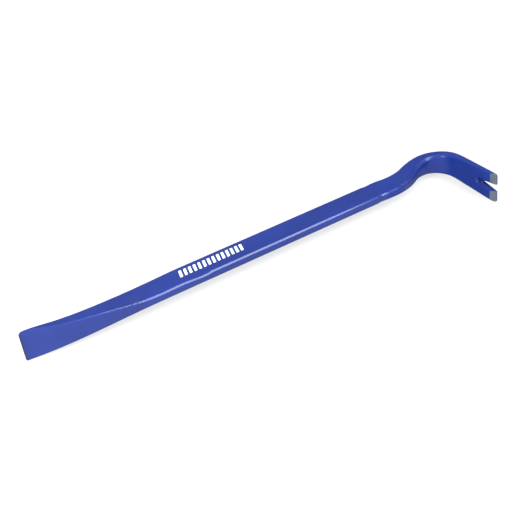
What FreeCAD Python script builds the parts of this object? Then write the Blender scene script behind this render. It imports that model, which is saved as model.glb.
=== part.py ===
import FreeCAD, Part
import math
import os
import Sketcher

# Gooseneck pry bar, 600 mm, forged in one piece from flat spring steel.
#
# The bar lies on its side. X runs along the shaft from the chisel tip to the crest of the
# gooseneck, Y is the way the crest bulges, and the claw arm turns back across the bar towards -Y.
# Z is the width of the blade and of the claw. The bar is the same above and below its own middle
# plane, apart from the chisel's two corners. The plane lies half the claw's width above the
# surface that the bar rests on.

DIMENSIONS = {
    # Flat stock, left at full size along the shaft: depth along Y, width along Z.
    "shaft_depth": 36.5,
    "shaft_width": 11.0,
    "shaft_corner": 3.6,
    "shaft_end": 480.6,
    # Chisel blade, one section every step along X from the tip. The offset is how far the
    # middle of a section strays from the middle of the shaft. One corner of the tip is rounder.
    "blade_step": 32.0,
    "tip_depth": 2.6,
    "tip_width": 36.6,
    "tip_offset": 4.6,
    "tip_corner": 1.0,
    "tip_upper_round": 5.0,
    "tip_lower_round": 1.6,
    "edge_depth": 10.4,
    "edge_width": 31.2,
    "edge_offset": 0.9,
    "edge_corner": 1.6,
    "flare_depth": 17.2,
    "flare_width": 24.4,
    "flare_offset": -1.8,
    "flare_corner": 2.2,
    "cheek_depth": 23.8,
    "cheek_width": 18.7,
    "cheek_offset": -2.1,
    "cheek_corner": 2.8,
    "waist_depth": 31.4,
    "waist_width": 12.9,
    "waist_offset": -1.5,
    "waist_corner": 3.2,
    "heel_depth": 35.2,
    "heel_width": 10.9,
    "heel_offset": -0.7,
    "heel_corner": 3.5,
    # Centreline of the gooseneck: each arc's radius and the angle in degrees that it turns.
    "joint_length": 15.0,
    "dip_radius": 110.0,
    "dip_turn": 5.5,
    "neck_radius": 80.0,
    "neck_turn": 33.0,
    "lead_radius": 66.0,
    "lead_turn": 24.0,
    "crest_radius": 31.0,
    "crest_turn": 95.4,
    "root_radius": 180.0,
    "root_turn": 5.0,
    "arm_length": 66.0,
    # Section at the end of each arc and at the end of the arm, and how round the claws' outer
    # corners are.
    "dip_depth": 36.0,
    "dip_width": 11.2,
    "dip_corner": 3.6,
    "neck_depth": 25.8,
    "neck_width": 15.6,
    "neck_corner": 5.0,
    "lead_depth": 20.2,
    "lead_width": 23.8,
    "lead_corner": 6.2,
    "crest_depth": 11.0,
    "crest_width": 32.8,
    "crest_corner": 4.2,
    "root_depth": 9.4,
    "root_width": 34.4,
    "root_corner": 3.4,
    "claw_depth": 4.8,
    "claw_width": 39.0,
    "claw_corner": 1.6,
    "claw_upper_round": 4.6,
    "claw_lower_round": 1.8,
    # Nail slot: how far it runs in from the claw's end, its width there and at its round end,
    # and the slope of its walls on the inner side.
    "slot_length": 26.0,
    "slot_mouth": 10.4,
    "slot_end": 3.2,
    "slot_bevel": 44.0,
    # Dished seat for a nail's head at the slot's end: a ball sunk into the arm's inner face.
    "seat_back": 30.0,
    "seat_ball": 7.5,
    "seat_rise": 7.8,
    # Ground edge on the inner face of both claws: its slope and the thickness it leaves.
    "grind_slope": 25.0,
    "grind_edge": 1.4,
    # Ink marking on the shaft's upper broad face: a row of slanted bars.
    "mark_middle": 234.0,
    "mark_aside": 2.4,
    "mark_height": 13.2,
    "mark_bar": 3.3,
    "mark_pitch": 6.3,
    "mark_slant": 4.0,
    "mark_ink": 0.12,
}

STEEL_NAME = "forged_bar"
INK_NAME = "printed_mark"
MARK_BARS = 14
CUT_THROUGH = 60.0
BEVEL_CUT = 8.0
OVERRUN = 3.0
ABOUT_Y = FreeCAD.Vector(0, 1, 0)
ABOUT_Z = FreeCAD.Vector(0, 0, 1)


def new_document():
    """Open the document and fill its spreadsheet with the driving dimensions."""
    doc = FreeCAD.newDocument("pry_bar")
    sheet = doc.addObject("Spreadsheet::Sheet", "Dims")
    for row, (alias, value) in enumerate(DIMENSIONS.items(), start=1):
        sheet.set("A%d" % row, alias)
        sheet.set("B%d" % row, str(value))
        sheet.setAlias("B%d" % row, alias)
    doc.recompute()
    return doc


def new_body(doc, name):
    body = doc.addObject("PartDesign::Body", name)
    body.Label = name
    return body


def origin_plane(body, role):
    """The body's own origin plane with this role."""
    return next(item for item in body.Origin.OriginFeatures if item.Role == role)


def attach(item, role, offset, angle="0", turned_about=ABOUT_Y):
    """Fix a sketch or primitive to its body's origin plane, moved and turned by expressions."""
    item.AttachmentSupport = [(origin_plane(item.getParentGeoFeatureGroup(), role), "")]
    item.MapMode = "FlatFace"
    turn = FreeCAD.Rotation(turned_about, 1)
    item.AttachmentOffset = FreeCAD.Placement(FreeCAD.Vector(0, 0, 0), turn)
    item.setExpression("AttachmentOffset.Rotation.Angle", angle)
    for axis, expression in offset.items():
        item.setExpression("AttachmentOffset.Base." + axis, expression)


def new_sketch(body, name, role, offset, angle="0", turned_about=ABOUT_Y):
    sketch = body.newObject("Sketcher::SketchObject", name)
    attach(sketch, role, offset, angle, turned_about)
    return sketch


def bind(sketch, constraint, name, expression):
    """Add a driving constraint to the sketch and bind it to the spreadsheet."""
    index = sketch.addConstraint(constraint)
    sketch.renameConstraint(index, name)
    sketch.setExpression("Constraints." + name, expression)


def rounded_rectangle(sketch, across, along, corner):
    """Draw a centred rectangle with four equal round corners, sizes given as expressions."""
    radius = sketch.evalExpression(corner)
    reach_x = sketch.evalExpression(across) / 2 - radius
    reach_y = sketch.evalExpression(along) / 2 - radius
    arcs = []
    for quadrant, (side_x, side_y) in enumerate([(1, 1), (-1, 1), (-1, -1), (1, -1)]):
        centre = FreeCAD.Vector(side_x * reach_x, side_y * reach_y, 0)
        circle = Part.Circle(centre, FreeCAD.Vector(0, 0, 1), radius)
        start = quadrant * math.pi / 2
        arcs.append(sketch.addGeometry(Part.ArcOfCircle(circle, start, start + math.pi / 2)))
    lines = []
    for arc, following in zip(arcs, arcs[1:] + arcs[:1]):
        first = sketch.Geometry[arc].EndPoint
        second = sketch.Geometry[following].StartPoint
        lines.append(sketch.addGeometry(Part.LineSegment(first, second)))
        sketch.addConstraint(Sketcher.Constraint("Tangent", arc, 2, lines[-1], 1))
        sketch.addConstraint(Sketcher.Constraint("Tangent", lines[-1], 2, following, 1))
    for arc in arcs[1:]:
        sketch.addConstraint(Sketcher.Constraint("Equal", arcs[0], arc))
    sketch.addConstraint(Sketcher.Constraint("Horizontal", lines[0]))
    sketch.addConstraint(Sketcher.Constraint("Vertical", lines[1]))
    sketch.addConstraint(Sketcher.Constraint("Symmetric", arcs[0], 3, arcs[2], 3, -1, 1))
    flat = "(%s) - 2 * (%s)"
    span_x = Sketcher.Constraint("DistanceX", arcs[1], 3, arcs[0], 3, 2 * reach_x)
    span_y = Sketcher.Constraint("DistanceY", arcs[3], 3, arcs[0], 3, 2 * reach_y)
    bind(sketch, Sketcher.Constraint("Radius", arcs[0], radius), "corner", corner)
    bind(sketch, span_x, "across", flat % (across, corner))
    bind(sketch, span_y, "along", flat % (along, corner))


def section(body, name, station, size):
    """A rounded section of the bar, square to its centreline at one station."""
    place, offset, heading = station
    sketch = new_sketch(body, name, "YZ_Plane", {"x": offset, "z": place}, heading)
    rounded_rectangle(sketch, *size)
    return sketch


def named_size(name):
    """The depth, width and corner of a section that the spreadsheet names."""
    return ["Dims.%s_%s" % (name, kind) for kind in ("depth", "width", "corner")]


def blended_size(first, last, share):
    """The size of a section this share of the way between two that the spreadsheet names."""
    ends = zip(named_size(first), named_size(last))
    return ["%s + (%s - %s) * %s" % (start, end, start, share) for start, end in ends]


def loft(body, name, sections):
    """Skin the sections, first to last, and add the result to the body."""
    feature = body.newObject("PartDesign::AdditiveLoft", name)
    feature.Profile = sections[0]
    feature.Sections = sections[1:]
    feature.Ruled = False
    return feature


def build_shaft(body, first_step):
    """The stretch of stock between the blade's last section and the gooseneck's first."""
    start = "Dims.blade_step * %d" % first_step
    profile = section(body, "shaft_profile", (start, "0", "0"), named_size("shaft"))
    shaft = body.newObject("PartDesign::Pad", "shaft")
    shaft.Profile = profile
    shaft.setExpression("Length", "Dims.shaft_end - Dims.joint_length - " + start)


def build_blade(body, names):
    """The chisel, drawn out from the stock and flared to its edge."""
    sections = []
    for step, name in enumerate(names):
        offset = "0" if name == "shaft" else "Dims.%s_offset" % name
        station = ("Dims.blade_step * %d" % step, offset, "0")
        sections.append(section(body, "blade_section_%d" % step, station, named_size(name)))
    loft(body, "blade", sections)


def along_arc(station, name, sense, shares):
    """The station one share further along an arc: its X, Y and heading as expressions."""
    place, offset, heading = station
    radius = "%d * Dims.%s_radius" % (sense, name)
    turned = "(%s + %d deg * Dims.%s_turn / %d)" % (heading, sense, name, shares)
    place = "%s + %s * (sin(%s) - sin(%s))" % (place, radius, turned, heading)
    offset = "%s + %s * (cos(%s) - cos(%s))" % (offset, radius, heading, turned)
    return place, offset, turned


def along_arm(station, share):
    """The station one share of the way along the straight arm."""
    place, offset, heading = station
    place = "%s + Dims.arm_length * %s * cos(%s)" % (place, share, heading)
    offset = "%s + Dims.arm_length * %s * sin(%s)" % (offset, share, heading)
    return place, offset, heading


def arc_ends(chain):
    """Where each tangent arc of the gooseneck's centreline starts, and which way it heads."""
    read = FreeCAD.ActiveDocument.Dims.get
    point = FreeCAD.Vector(read("shaft_end"), 0, 0)
    heading = 0.0
    ends = [(point, heading)]
    for name, sense, _ in chain:
        turned = heading + sense * math.radians(read(name + "_turn"))
        reach = sense * read(name + "_radius")
        across = reach * (math.sin(turned) - math.sin(heading))
        aside = reach * (math.cos(heading) - math.cos(turned))
        point = point + FreeCAD.Vector(across, aside, 0)
        heading = turned
        ends.append((point, heading))
    return ends


def centreline(body, chain):
    """The path of the gooseneck: a short straight, a chain of tangent arcs and the arm."""
    sketch = new_sketch(body, "gooseneck_path", "XY_Plane", {})
    read = FreeCAD.ActiveDocument.Dims.get
    ends = arc_ends(chain)
    first = ends[0][0] - FreeCAD.Vector(read("joint_length"), 0, 0)
    joint = sketch.addGeometry(Part.LineSegment(first, ends[0][0]))
    sketch.addConstraint(Sketcher.Constraint("PointOnObject", joint, 1, -1))
    sketch.addConstraint(Sketcher.Constraint("Horizontal", joint))
    start = Sketcher.Constraint("DistanceX", joint, 2, ends[0][0].x)
    bind(sketch, start, "start", "Dims.shaft_end")
    length = Sketcher.Constraint("Distance", joint, ends[0][0].distanceToPoint(first))
    bind(sketch, length, "joint", "Dims.joint_length")
    before, before_end = joint, 2
    for (name, sense, _), (point, heading) in zip(chain, ends):
        radius = read(name + "_radius")
        left = FreeCAD.Vector(-math.sin(heading), math.cos(heading), 0)
        circle = Part.Circle(point + left * sense * radius, FreeCAD.Vector(0, 0, 1), radius)
        turn = math.radians(read(name + "_turn"))
        angle = heading - sense * math.pi / 2
        span = (angle, angle + turn) if sense > 0 else (angle - turn, angle)
        arc = sketch.addGeometry(Part.ArcOfCircle(circle, *span))
        near, far = (1, 2) if sense > 0 else (2, 1)
        sketch.addConstraint(Sketcher.Constraint("Tangent", before, before_end, arc, near))
        round_it = Sketcher.Constraint("Radius", arc, radius)
        turn_it = Sketcher.Constraint("Angle", arc, turn)
        bind(sketch, round_it, name + "_radius", "Dims.%s_radius" % name)
        bind(sketch, turn_it, name + "_turn", "Dims.%s_turn * 1 deg" % name)
        before, before_end = arc, far
    point, heading = ends[-1]
    reach = FreeCAD.Vector(math.cos(heading), math.sin(heading), 0) * read("arm_length")
    arm = sketch.addGeometry(Part.LineSegment(point, point + reach))
    sketch.addConstraint(Sketcher.Constraint("Tangent", before, before_end, arm, 1))
    bind(sketch, Sketcher.Constraint("Distance", arm, reach.Length), "arm", "Dims.arm_length")
    return sketch


def build_gooseneck(body):
    """The double bend and the claw arm, drawn down in depth and spread in width."""
    chain = [("dip", -1, 1), ("neck", 1, 3), ("lead", -1, 2), ("crest", -1, 3), ("root", -1, 1)]
    arm_shares = 4
    joint = ("Dims.shaft_end - Dims.joint_length", "0", "0 deg")
    station = ("Dims.shaft_end", "0", "0 deg")
    plan = [(joint, named_size("shaft")), (station, named_size("shaft"))]
    before = "shaft"
    for name, sense, shares in chain:
        for share in range(1, shares + 1):
            station = along_arc(station, name, sense, shares)
            plan.append((station, blended_size(before, name, share / shares)))
        before = name
    root = station
    for step in range(1, arm_shares + 1):
        share = step / arm_shares
        plan.append((along_arm(root, share), blended_size("root", "claw", share)))
    sections = [
        section(body, "gooseneck_section_%d" % number, place, size)
        for number, (place, size) in enumerate(plan)
    ]
    path = centreline(body, chain)
    FreeCAD.ActiveDocument.recompute()
    sweep = body.newObject("PartDesign::AdditivePipe", "gooseneck")
    sweep.Spine = path
    sweep.Profile = sections[0]
    sweep.Transformation = "Multisection"
    sweep.Sections = sections[1:]
    return root, plan[-1][0]


def polygon(sketch, points):
    """Closed outline of straight lines through these points, joined end to end."""
    corners = [FreeCAD.Vector(x, y, 0) for x, y in points]
    following = corners[1:] + corners[:1]
    lines = [sketch.addGeometry(Part.LineSegment(*pair)) for pair in zip(corners, following)]
    for line, after in zip(lines, lines[1:] + lines[:1]):
        sketch.addConstraint(Sketcher.Constraint("Coincident", line, 2, after, 1))
    return lines


def place_point(sketch, line, name, x, y):
    """Bind the start of a line to a place given by two expressions."""
    spot_x, spot_y = sketch.evalExpression(x), sketch.evalExpression(y)
    bind(sketch, Sketcher.Constraint("DistanceX", -1, 1, line, 1, spot_x), name + "_x", x)
    bind(sketch, Sketcher.Constraint("DistanceY", -1, 1, line, 1, spot_y), name + "_y", y)


def bound_polygon(sketch, names, expressions):
    """Closed outline whose corners are all bound to the spreadsheet."""
    points = [[sketch.evalExpression(part) for part in pair] for pair in expressions]
    lines = polygon(sketch, points)
    for line, name, (x, y) in zip(lines, names, expressions):
        place_point(sketch, line, name, x, y)


def pocket(body, name, profile, length, midplane=False, taper=None):
    """Cut a profile into the body and stop if nothing was removed."""
    before = body.Tip.Shape.Volume
    cut = body.newObject("PartDesign::Pocket", name)
    cut.Profile = profile
    cut.Length = length
    cut.Midplane = midplane
    if taper:
        cut.setExpression("TaperAngle", taper)
    FreeCAD.ActiveDocument.recompute()
    if not cut.Shape.Volume < before - 1:
        raise RuntimeError(name + " removes nothing")


def slot_outline(sketch):
    """V outline of the nail slot, open past the claw's end and round at its inner end."""
    far = sketch.evalExpression("Dims.slot_length - Dims.slot_end / 2")
    half_end = sketch.evalExpression("Dims.slot_end / 2")
    half_mouth = sketch.evalExpression("Dims.slot_mouth / 2")
    corners = [(far, half_end), (-OVERRUN, half_mouth), (-OVERRUN, -half_mouth), (far, -half_end)]
    spots = [FreeCAD.Vector(x, y, 0) for x, y in corners]
    walls = [sketch.addGeometry(Part.LineSegment(*pair)) for pair in zip(spots, spots[1:])]
    circle = Part.Circle(FreeCAD.Vector(far, 0, 0), ABOUT_Z, half_end)
    end = sketch.addGeometry(Part.ArcOfCircle(circle, -math.pi / 2, math.pi / 2))
    sketch.addConstraint(Sketcher.Constraint("Coincident", walls[0], 2, walls[1], 1))
    sketch.addConstraint(Sketcher.Constraint("Coincident", walls[1], 2, walls[2], 1))
    sketch.addConstraint(Sketcher.Constraint("Coincident", walls[2], 2, end, 1))
    sketch.addConstraint(Sketcher.Constraint("Coincident", end, 2, walls[0], 1))
    sketch.addConstraint(Sketcher.Constraint("PointOnObject", end, 3, -1))
    sketch.addConstraint(Sketcher.Constraint("Vertical", end, 3, end, 2))
    sketch.addConstraint(Sketcher.Constraint("Symmetric", walls[1], 1, walls[1], 2, -1))
    sketch.addConstraint(Sketcher.Constraint("DistanceX", walls[1], 1, -1, 1, OVERRUN))
    mouth = Sketcher.Constraint("DistanceY", walls[1], 2, walls[1], 1, 2 * half_mouth)
    reach = Sketcher.Constraint("DistanceX", -1, 1, end, 3, far)
    bind(sketch, mouth, "mouth", "Dims.slot_mouth")
    bind(sketch, reach, "reach", "Dims.slot_length - Dims.slot_end / 2")
    bind(sketch, Sketcher.Constraint("Radius", end, half_end), "end", "Dims.slot_end / 2")


def cut_slot(body, claw_end):
    """The nail slot, square through the arm and bevelled on its inner side."""
    place, offset, heading = claw_end
    for name, midplane, taper in (("slot", True, None), ("slot_bevel", False, "Dims.slot_bevel")):
        spot = {"x": offset, "z": place}
        sketch = new_sketch(body, name + "_outline", "YZ_Plane", spot, heading + " + 90 deg")
        slot_outline(sketch)
        length = CUT_THROUGH if midplane else BEVEL_CUT
        pocket(body, name, sketch, length, midplane, taper)


def sink_seat(body, root):
    """The dish that lets the slot's end take hold under a nail's head."""
    station = along_arm(root, "(1 - Dims.seat_back / Dims.arm_length)")
    place, offset, heading = station
    spot = {
        "x": "%s + Dims.seat_rise * sin(%s)" % (place, heading),
        "y": "%s - Dims.seat_rise * cos(%s)" % (offset, heading),
    }
    before = body.Tip.Shape.Volume
    ball = body.newObject("PartDesign::SubtractiveSphere", "nail_seat")
    attach(ball, "XY_Plane", spot)
    ball.setExpression("Radius", "Dims.seat_ball")
    FreeCAD.ActiveDocument.recompute()
    if not ball.Shape.Volume < before - 1:
        raise RuntimeError("nail_seat removes nothing")


def grind_claws(body, claw_end):
    """The bevel ground across the inner face of both claws at their tips."""
    place, offset, heading = claw_end
    spot = {"x": place, "y": offset}
    sketch = new_sketch(body, "grind_outline", "XY_Plane", spot, heading, ABOUT_Z)
    below = "-Dims.claw_depth"
    crossing = "Dims.claw_depth / 2 - Dims.grind_edge"
    slope = "tan(Dims.grind_slope * 1 deg)"
    beyond = "%s" % OVERRUN
    behind = "(%s - (%s)) / %s" % (below, crossing, slope)
    above = "%s + %s * %s" % (crossing, OVERRUN, slope)
    corners = [(behind, below), (beyond, below), (beyond, above)]
    bound_polygon(sketch, ["behind", "below", "above"], corners)
    pocket(body, "claw_grind", sketch, CUT_THROUGH, midplane=True)


def corner_outline(sketch, half_width, roundings):
    """Outlines of the waste outside two round corners of an end that lies on the sketch's Y."""
    edge = sketch.evalExpression(half_width)
    for side, name in ((1, "upper"), (-1, "lower")):
        rounding = roundings[name]
        radius = sketch.evalExpression(rounding)
        outer, inner = side * (edge + OVERRUN), side * (edge - radius)
        spots = [(0, inner), (-OVERRUN, inner), (-OVERRUN, outer), (radius, outer)]
        spots.append((radius, side * edge))
        corners = [FreeCAD.Vector(x, y, 0) for x, y in spots]
        sides = [sketch.addGeometry(Part.LineSegment(*pair)) for pair in zip(corners, corners[1:])]
        circle = Part.Circle(FreeCAD.Vector(radius, inner, 0), ABOUT_Z, radius)
        span = (math.pi / 2, math.pi) if side > 0 else (math.pi, 3 * math.pi / 2)
        arc = sketch.addGeometry(Part.ArcOfCircle(circle, *span))
        for line, after in zip(sides, sides[1:]):
            sketch.addConstraint(Sketcher.Constraint("Coincident", line, 2, after, 1))
        high, low = (1, 2) if side > 0 else (2, 1)
        sketch.addConstraint(Sketcher.Constraint("Coincident", sides[-1], 2, arc, high))
        sketch.addConstraint(Sketcher.Constraint("Coincident", sides[0], 1, arc, low))
        for line, way in zip(sides, ("Horizontal", "Vertical", "Horizontal", "Vertical")):
            sketch.addConstraint(Sketcher.Constraint(way, line))
        sketch.addConstraint(Sketcher.Constraint("PointOnObject", arc, low, -2))
        sketch.addConstraint(Sketcher.Constraint("Horizontal", arc, 3, arc, low))
        sketch.addConstraint(Sketcher.Constraint("Vertical", arc, 3, arc, high))
        sketch.addConstraint(Sketcher.Constraint("DistanceX", sides[1], 1, -1, 1, OVERRUN))
        bind(sketch, Sketcher.Constraint("Radius", arc, radius), name + "_round", rounding)
        ends = (-1, 1, arc, high) if side > 0 else (arc, high, -1, 1)
        reach = Sketcher.Constraint("DistanceY", *ends, edge)
        bind(sketch, reach, name + "_edge", half_width)
        past = (arc, high, sides[2], 2) if side > 0 else (sides[2], 2, arc, high)
        sketch.addConstraint(Sketcher.Constraint("DistanceY", *past, OVERRUN))


def round_tip(body):
    """Round both ends of the chisel's cutting edge, seen square to the blade."""
    sketch = new_sketch(body, "tip_corners", "XZ_Plane", {})
    roundings = {"upper": "Dims.tip_upper_round", "lower": "Dims.tip_lower_round"}
    corner_outline(sketch, "Dims.tip_width / 2", roundings)
    pocket(body, "tip_rounding", sketch, CUT_THROUGH, midplane=True)


def round_claws(body, claw_end):
    """Round the outer corner of each claw, seen square to the arm."""
    place, offset, heading = claw_end
    spot = {"x": offset, "z": place}
    sketch = new_sketch(body, "claw_corners", "YZ_Plane", spot, heading + " + 90 deg")
    roundings = {"upper": "Dims.claw_upper_round", "lower": "Dims.claw_lower_round"}
    corner_outline(sketch, "Dims.claw_width / 2", roundings)
    pocket(body, "claw_rounding", sketch, CUT_THROUGH, midplane=True)


def build_bar(doc):
    """The forging: blade, shaft, gooseneck and slotted claw in one body."""
    body = new_body(doc, STEEL_NAME)
    blade_names = ["tip", "edge", "flare", "cheek", "waist", "heel", "shaft", "shaft"]
    build_shaft(body, len(blade_names) - 1)
    build_blade(body, blade_names)
    root, claw_end = build_gooseneck(body)
    doc.recompute()
    cut_slot(body, claw_end)
    sink_seat(body, root)
    round_claws(body, claw_end)
    grind_claws(body, claw_end)
    round_tip(body)
    return body


def build_mark(doc):
    """The printed marking: a row of slanted ink bars on the shaft's upper broad face."""
    body = new_body(doc, INK_NAME)
    spot = {"z": "Dims.shaft_width / 2"}
    sketch = new_sketch(body, "bar_outline", "XY_Plane", spot)
    left = "(Dims.mark_middle - Dims.mark_pitch * %s / 2 - Dims.mark_bar / 2)" % (MARK_BARS - 1)
    lean = "Dims.mark_slant / 2"
    low = "Dims.mark_aside - Dims.mark_height / 2"
    high = "Dims.mark_aside + Dims.mark_height / 2"
    corners = [
        ("%s - %s" % (left, lean), low),
        ("%s - %s + Dims.mark_bar" % (left, lean), low),
        ("%s + %s + Dims.mark_bar" % (left, lean), high),
        ("%s + %s" % (left, lean), high),
    ]
    bound_polygon(sketch, ["foot", "toe", "crown", "brow"], corners)
    bar = body.newObject("PartDesign::Pad", "bar")
    bar.Profile = sketch
    bar.setExpression("Length", "Dims.mark_ink")
    row = body.newObject("PartDesign::LinearPattern", "row")
    row.Originals = [bar]
    row.Direction = (sketch, ["H_Axis"])
    row.Occurrences = MARK_BARS
    row.setExpression("Length", "Dims.mark_pitch * %d" % (MARK_BARS - 1))
    body.Tip = row
    doc.recompute()
    return body


def stand(bar, others):
    """Move every body so that the bar's box stands on Z = 0 with its middle over the origin."""
    box = bar.Shape.optimalBoundingBox(True, False)
    middle = FreeCAD.Vector(box.Center.x, box.Center.y, box.ZMin)
    for body in [bar] + others:
        body.Placement = FreeCAD.Placement(-middle, FreeCAD.Rotation())


def check(doc):
    """Stop if any object failed or any body is not one valid solid."""
    for item in doc.Objects:
        if "Invalid" in item.State or "Error" in item.State:
            raise RuntimeError("%s: %s" % (item.Label, item.State))
    for body in doc.findObjects("PartDesign::Body"):
        shape = body.Shape
        if shape.isNull() or not shape.isValid():
            raise RuntimeError("%s has no valid shape" % body.Label)
        print(body.Label, "volume %.0f mm3" % shape.Volume, shape.BoundBox)


def main():
    doc = new_document()
    bar = build_bar(doc)
    mark = build_mark(doc)
    stand(bar, [mark])
    doc.recompute()
    check(doc)
    os.makedirs("parts", exist_ok=True)
    for body in (bar, mark):
        body.Shape.exportStep(os.path.join("parts", body.Label + ".step"))


main()
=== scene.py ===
import bpy
import math
from mathutils import Matrix, Vector


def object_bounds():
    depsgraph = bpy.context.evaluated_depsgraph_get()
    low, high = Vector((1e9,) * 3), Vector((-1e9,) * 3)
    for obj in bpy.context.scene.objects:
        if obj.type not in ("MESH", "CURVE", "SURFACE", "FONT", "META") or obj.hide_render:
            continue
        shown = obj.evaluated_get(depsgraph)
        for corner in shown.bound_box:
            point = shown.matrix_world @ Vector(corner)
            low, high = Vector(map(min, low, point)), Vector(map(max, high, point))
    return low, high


# Gooseneck pry bar: glossy blue enamel over a steel forging, with both claw tips ground bare.
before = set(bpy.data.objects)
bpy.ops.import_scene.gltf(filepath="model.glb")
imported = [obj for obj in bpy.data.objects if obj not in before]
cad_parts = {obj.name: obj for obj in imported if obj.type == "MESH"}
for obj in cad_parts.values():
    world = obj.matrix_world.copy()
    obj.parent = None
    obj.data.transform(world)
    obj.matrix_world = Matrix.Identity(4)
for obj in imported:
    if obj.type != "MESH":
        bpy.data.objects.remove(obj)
cad_low, cad_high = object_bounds()

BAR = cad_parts["forged_bar"]
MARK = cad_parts["printed_mark"]
MM = 0.001

# The claw arm's heading seen from above, the slope of the bevel ground on its inner face and how
# far from the arm's end that bevel is looked for.
ARM_HEADING = math.radians(-96.9)
ARM_INNER = Vector((math.sin(ARM_HEADING), -math.cos(ARM_HEADING), 0))
ARM_OUTWARD = Vector((math.cos(ARM_HEADING), math.sin(ARM_HEADING), 0))
GRIND_SLOPE = math.radians(25)
CLAW_REACH = 12 * MM
# Middle of the claw's end, its thickness there and how fast its inner face rises towards the root.
CLAW_END = Vector((0.2871, -0.0618, 0.0194))
CLAW_THICKNESS = 4.8 * MM
CLAW_TAPER = 0.035

# How far up the blade from its lowest X the darkening along the cutting edge starts to fade, and
# where it has faded out.
EDGE_DARK_FROM = 0.1 * MM
EDGE_DARK_TO = 1.1 * MM

# Where the hammer left its marks along the shaft's upper front corner, and how far they spread.
HAMMER_SPOTS = (
    (Vector((-0.181, 0.0205, 0.026)), 20 * MM),
    (Vector((0.214, 0.02, 0.0255)), 26 * MM),
)
CORNER_WIDTH = (3 * MM, 8 * MM)
# Middle of the gooseneck's crest, where cross ripples are left by bending, and their spread.
CREST_MIDDLE = Vector((0.262, 0.03, 0.0195))
CREST_SPREAD = 34 * MM
# Where the enamel dried dull, how far each patch spreads and how dull it is.
DULL_SPOTS = (
    (CREST_MIDDLE, 44 * MM, 0.55),
    (Vector((0.192, 0.02, 0.0255)), 20 * MM, 0.65),
    (Vector((0.289, -0.031, 0.0195)), 13 * MM, 0.75),
)

FLOOR_SIZE = 12.0
FLOOR_GLOW = 0.62
CAMERA_PLACE = Vector((-0.4431, -0.7718, 0.5727))
CAMERA_RIGHT = Vector((0.8349, -0.5361, -0.1245))
CAMERA_UP = Vector((0.375, 0.3884, 0.8417))
CAMERA_LENS = 63.53

# How bright the room looks in each direction, and how bright its far wall looks.
SKY_FRONT = 1.1
SKY_BEHIND = 0.45
GROUND_FRONT = 1.35
GROUND_BEHIND = 0.14
SKY_OVERHEAD = 0.5
BACKDROP = 1.12


class Value:
    """A node's output, which Python expressions turn into Math nodes."""

    def __init__(self, finish, socket):
        self.finish = finish
        self.socket = socket

    def maths(self, operation, *terms):
        inputs = dict(enumerate(terms))
        return self.finish.node("Math", {"operation": operation}, inputs)

    def __add__(self, other):
        return self.maths("ADD", self, other)

    def __radd__(self, other):
        return self.maths("ADD", other, self)

    def __sub__(self, other):
        return self.maths("SUBTRACT", self, other)

    def __rsub__(self, other):
        return self.maths("SUBTRACT", other, self)

    def __mul__(self, other):
        return self.maths("MULTIPLY", self, other)

    def __rmul__(self, other):
        return self.maths("MULTIPLY", other, self)

    def size(self):
        """The value without its sign."""
        return self.maths("ABSOLUTE", self)

    def rise(self, low, high):
        """A smooth step from 0 at low to 1 at high."""
        settings = {"interpolation_type": "SMOOTHSTEP", "clamp": True}
        span = {"Value": self, "From Min": low, "From Max": high}
        return self.finish.node("MapRange", settings, span)


class Finish:
    """The nodes of one material or of the studio's sky."""

    def __init__(self, owner):
        self.owner = owner
        owner.use_nodes = True
        self.tree = owner.node_tree
        self.tree.nodes.clear()

    def node(self, kind, settings, inputs, output=0):
        """Add a node, set it up, feed its inputs and return one of its outputs."""
        made = self.tree.nodes.new("ShaderNode" + kind)
        for name, setting in settings.items():
            setattr(made, name, setting)
        for name, source in inputs.items():
            if isinstance(source, Value):
                self.tree.links.new(source.socket, made.inputs[name])
            else:
                made.inputs[name].default_value = source
        return Value(self, made.outputs[output])

    def place(self):
        """Where a point is on the piece, in metres."""
        return self.node("TexCoord", {}, {}, "Object")

    def along(self, direction):
        """How far a point lies along a direction, in metres."""
        inputs = {0: self.place(), 1: direction}
        return self.node("VectorMath", {"operation": "DOT_PRODUCT"}, inputs, "Value")

    def mottle(self, size, detail=2.0, roughness=0.5, stretch=(1, 1, 1), turned=(0, 0, 0)):
        """Cloudy noise whose patches are about this size in metres."""
        settings = {"vector_type": "TEXTURE"}
        mapping = {"Vector": self.place(), "Scale": stretch, "Rotation": turned}
        spot = self.node("Mapping", settings, mapping)
        grain = {"Vector": spot, "Scale": 1 / size, "Detail": detail, "Roughness": roughness}
        return self.node("TexNoise", {}, grain)

    def blend(self, share, first, second):
        """Mix two colours."""
        inputs = {0: share, 6: first, 7: second}
        return self.node("Mix", {"data_type": "RGBA"}, inputs, 2)

    def relief(self, height, depth, under=None):
        """Raised and sunken detail this deep in metres, laid over another relief if given."""
        inputs = {"Height": height, "Distance": depth, "Strength": 1.0}
        if under:
            inputs["Normal"] = under
        return self.node("Bump", {}, inputs)

    def show(self, kind, output, sockets):
        """Finish the tree with a shader and its output."""
        named = {name.replace("_", " "): source for name, source in sockets.items()}
        shader = self.node(kind, {}, named)
        last = self.tree.nodes.new(output)
        self.tree.links.new(shader.socket, last.inputs["Surface"])
        return self.owner

    def surface(self, **sockets):
        return self.show("BsdfPrincipled", "ShaderNodeOutputMaterial", sockets)


def colour(red, green, blue):
    return (red, green, blue, 1.0)


def grind_plane():
    """Normal and offset of the bevel ground across the claw's inner face."""
    normal = ARM_INNER * math.cos(GRIND_SLOPE) + ARM_OUTWARD * math.sin(GRIND_SLOPE)
    end = cad_low.y + CLAW_REACH
    claw = [v.co for v in BAR.data.vertices if v.co.y < end and v.co.x > 0]
    return normal, max(normal.dot(spot) for spot in claw)


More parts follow.
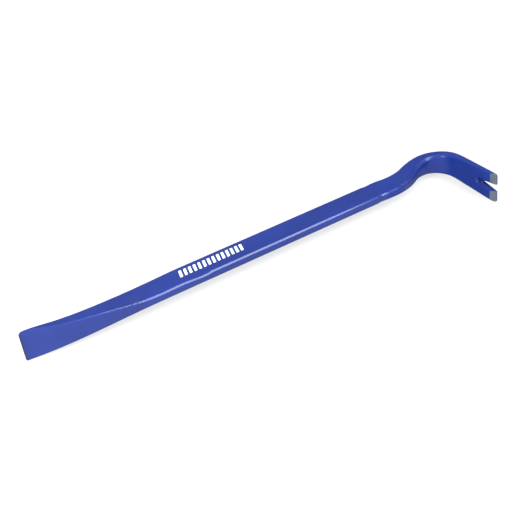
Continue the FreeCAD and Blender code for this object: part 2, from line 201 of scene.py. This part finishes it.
def around(finish, spot, reach):
    """1 near a spot on the bar, fading to 0 at its reach."""
    inputs = {0: finish.place(), 1: spot}
    away = finish.node("VectorMath", {"operation": "DISTANCE"}, inputs, "Value")
    return 1 - away.rise(reach * 0.4, reach)


def hammered(finish):
    """1 along the shaft's corner at the blade's heel and in the neck, fading to 0."""
    aside = finish.along((0, 1, 0)) - HAMMER_SPOTS[0][0].y
    corner = 1 - aside.size().rise(*CORNER_WIDTH)
    return sum(around(finish, spot, reach) for spot, reach in HAMMER_SPOTS) * corner


def slot_shade(finish):
    """1 on the nail slot's walls and in its seat, which are darkened as painted shade, 0
    elsewhere.
    """
    back = ARM_OUTWARD.dot(CLAW_END) - finish.along(ARM_OUTWARD)
    face = back * CLAW_TAPER + CLAW_THICKNESS / 2
    sunk = face + ARM_INNER.dot(CLAW_END) - finish.along(ARM_INNER)
    walls = sunk.rise(0.3 * MM, 0.9 * MM) * (1 - sunk.rise(3.4 * MM, 4.2 * MM))
    aside = finish.along((0, 0, 1)) - CLAW_END.z
    in_slot = 1 - aside.size().rise(9 * MM, 10 * MM)
    return walls * in_slot * (1 - back.rise(38 * MM, 40 * MM))


def dulled(finish):
    """How dull the enamel is, from 0 where it shines fully."""
    return sum(around(finish, spot, reach) * share for spot, reach, share in DULL_SPOTS)


def bare_claw(finish):
    """1 on the ground steel at the claw's tips, 0 on the enamel."""
    normal, offset = grind_plane()
    ragged = (finish.mottle(2.5 * MM, 3.0) - 0.5) * (0.35 * MM)
    facet = (finish.along(normal) + ragged).rise(offset - 0.3 * MM, offset - 0.18 * MM)
    height = finish.along((0, 1, 0))
    near = 1 - height.rise(cad_low.y + 9 * MM, cad_low.y + 10 * MM)
    right = finish.along((1, 0, 0)).rise(0.1, 0.11)
    return facet * near * right


def dark_chisel_edge(finish):
    """1 along the chisel's cutting edge, where the enamel colour is darkened, fading to 0 up the
    blade.
    """
    ragged = finish.mottle(3 * MM, 3.0) * (1.2 * MM)
    up_blade = finish.along((1, 0, 0)) - ragged
    return 1 - up_blade.rise(cad_low.x + EDGE_DARK_FROM, cad_low.x + EDGE_DARK_TO)


def rubbed(finish):
    """1 in scattered fine scuffs left by handling, 0 elsewhere."""
    strokes = finish.mottle(1.1 * MM, 3.0, 0.6, (14, 1, 1), (0, 0, math.radians(12)))
    patches = finish.mottle(45 * MM, 2.0).rise(0.48, 0.7)
    return strokes.rise(0.63, 0.72) * patches


def blue_enamel():
    finish = Finish(bpy.data.materials.new("blue_enamel"))
    steel = bare_claw(finish)
    edge_darkening = dark_chisel_edge(finish)
    scuffs = rubbed(finish)
    dull = dulled(finish)
    clouds = finish.mottle(60 * MM, 3.0)
    deep = colour(0.0043, 0.0165, 0.13)
    fresh = colour(0.0057, 0.0205, 0.154)
    paint = finish.blend(clouds.rise(0.3, 0.7), deep, fresh)
    paint = finish.blend(scuffs * 0.5, paint, colour(0.02, 0.04, 0.2))
    # The enamel colour is darkened along the chisel's cutting edge.
    paint = finish.blend(edge_darkening * 0.85, paint, colour(0.006, 0.008, 0.03))
    # Painted shade: the nail slot's walls and seat are darkened in the enamel colour.
    paint = finish.blend(slot_shade(finish) * 0.6, paint, colour(0.0015, 0.004, 0.035))
    scratches = finish.mottle(0.25 * MM, 2.0, 0.6, (1, 1, 40))
    dark_steel = colour(0.088, 0.11, 0.145)
    pale_steel = colour(0.196, 0.24, 0.285)
    ground = finish.blend(scratches.rise(0.35, 0.65), dark_steel, pale_steel)
    peel = finish.mottle(2.2 * MM, 2.0)
    waves = finish.mottle(14 * MM, 2.0)
    dents = finish.mottle(3.2 * MM, 1.5, 0.5) * hammered(finish)
    relief = finish.relief(waves, 0.04 * MM)
    relief = finish.relief(dents, 2.2 * MM, relief)
    ripples = finish.mottle(4 * MM, 1.0, 0.5, (1, 1, 30))
    ripples = ripples * around(finish, CREST_MIDDLE, CREST_SPREAD)
    relief = finish.relief(ripples, 0.12 * MM, relief)
    relief = finish.relief(peel, 0.012 * MM, relief)
    relief = finish.relief(scratches * steel, 0.02 * MM, relief)
    smears = finish.mottle(25 * MM, 4.0, 0.6)
    gloss = smears.rise(0.3, 0.8) * 0.1 + scuffs * 0.25 + dull * 0.1 + 0.3
    return finish.surface(
        Base_Color=finish.blend(steel, paint, ground),
        Metallic=steel * 0.7,
        Roughness=gloss + steel * 0.2,
        Coat_Weight=(1 - steel) * (1 - scuffs * 0.8) * (1 - dull) * 0.7,
        Coat_Roughness=0.07,
        Specular_IOR_Level=0.2,
        Normal=relief,
    )


def print_ink():
    finish = Finish(bpy.data.materials.new("print_ink"))
    worn = finish.mottle(1.2 * MM, 4.0, 0.6).rise(0.62, 0.7)
    ink = finish.blend(worn * 0.5, colour(0.83, 0.86, 0.93), colour(0.35, 0.42, 0.7))
    grain = finish.mottle(0.4 * MM, 2.0)
    return finish.surface(
        Base_Color=ink,
        Roughness=grain * 0.2 + 0.35,
        Normal=finish.relief(grain, 0.01 * MM),
    )


def dress(piece, material):
    """Give a piece this one material."""
    piece.data.materials.clear()
    piece.data.materials.append(material)


def lay_floor():
    bpy.ops.mesh.primitive_plane_add(size=FLOOR_SIZE)
    floor = bpy.context.object
    floor.name = "floor"
    finish = Finish(bpy.data.materials.new("pale_floor"))
    paper = colour(0.25, 0.25, 0.25)
    dress(floor, finish.surface(
        Base_Color=paper,
        Roughness=0.9,
        Emission_Color=colour(1.0, 1.0, 1.0),
        Emission_Strength=FLOOR_GLOW,
    ))
    floor.visible_glossy = False


def softbox(name, place, size, radiance, tint, mirrored):
    """A rectangular light facing the bar's middle, which glossy faces may or may not mirror."""
    lamp = bpy.data.lights.new(name, "AREA")
    lamp.shape = "RECTANGLE"
    lamp.size, lamp.size_y = size
    lamp.energy = radiance * math.pi * lamp.size * lamp.size_y
    lamp.color = tint
    box = bpy.data.objects.new(name, lamp)
    back = place.normalized()
    side = Vector((1, 0, 0)).cross(back).cross(back) * -1
    side.normalize()
    turn = Matrix((side, back.cross(side), back)).transposed()
    box.matrix_world = Matrix.Translation(place) @ turn.to_4x4()
    box.visible_glossy = mirrored
    bpy.context.scene.collection.objects.link(box)


def light_studio():
    """A soft room, brightest overhead and in front of the bar, with four softboxes."""
    world = bpy.data.worlds.new("studio")
    bpy.context.scene.world = world
    sky = Finish(world)
    split = {"Vector": sky.node("TexCoord", {}, {}, "Generated")}
    right = sky.node("SeparateXYZ", {}, split, "X")
    behind = sky.node("SeparateXYZ", {}, split, "Y")
    height = sky.node("SeparateXYZ", {}, split, "Z")
    front = 1 - behind.rise(-0.5, 0.4)
    back = (1 - right.rise(0.2, 0.7) * 0.5) * SKY_BEHIND
    upper = front * (SKY_FRONT - SKY_BEHIND) + back
    left = 1 - right.rise(0.2, 0.7) * 0.4
    lower = front * left * (GROUND_FRONT - GROUND_BEHIND) + GROUND_BEHIND
    sides = lower + (upper - lower) * height.rise(-0.15, 0.1)
    overhead = height.rise(0.6, 0.9) * SKY_OVERHEAD
    room = sides + overhead
    seen = sky.node("LightPath", {}, {}, "Is Camera Ray")
    strength = room + (BACKDROP - room) * seen
    sky.show("Background", "ShaderNodeOutputWorld", {"Strength": strength})
    blue_white = (0.84, 0.92, 1.0)
    white = (1.0, 1.0, 1.0)
    softbox("key", Vector((0.84, -1.15, 1.65)), (0.91, 2.6), 9.5, blue_white, True)
    softbox("fill", Vector((-1.7, -0.5, 0.75)), (1.6, 1.6), 9.0, white, False)
    softbox("glint", Vector((-0.85, -0.3, 0.5)), (0.4, 0.4), 9.0, white, True)
    softbox("back", Vector((0.3, 2.4, 0.6)), (3.4, 1.2), 5.0, white, False)


def set_camera():
    lens = bpy.data.cameras.new("camera")
    lens.lens = CAMERA_LENS
    lens.clip_start = 0.05
    camera = bpy.data.objects.new("camera", lens)
    back = CAMERA_RIGHT.cross(CAMERA_UP)
    turn = Matrix((CAMERA_RIGHT, CAMERA_UP, back)).transposed()
    camera.matrix_world = Matrix.Translation(CAMERA_PLACE) @ turn.to_4x4()
    bpy.context.scene.collection.objects.link(camera)
    bpy.context.scene.camera = camera


dress(BAR, blue_enamel())
dress(MARK, print_ink())
lay_floor()
light_studio()
set_camera()
bpy.context.scene.view_settings.view_transform = "Standard"
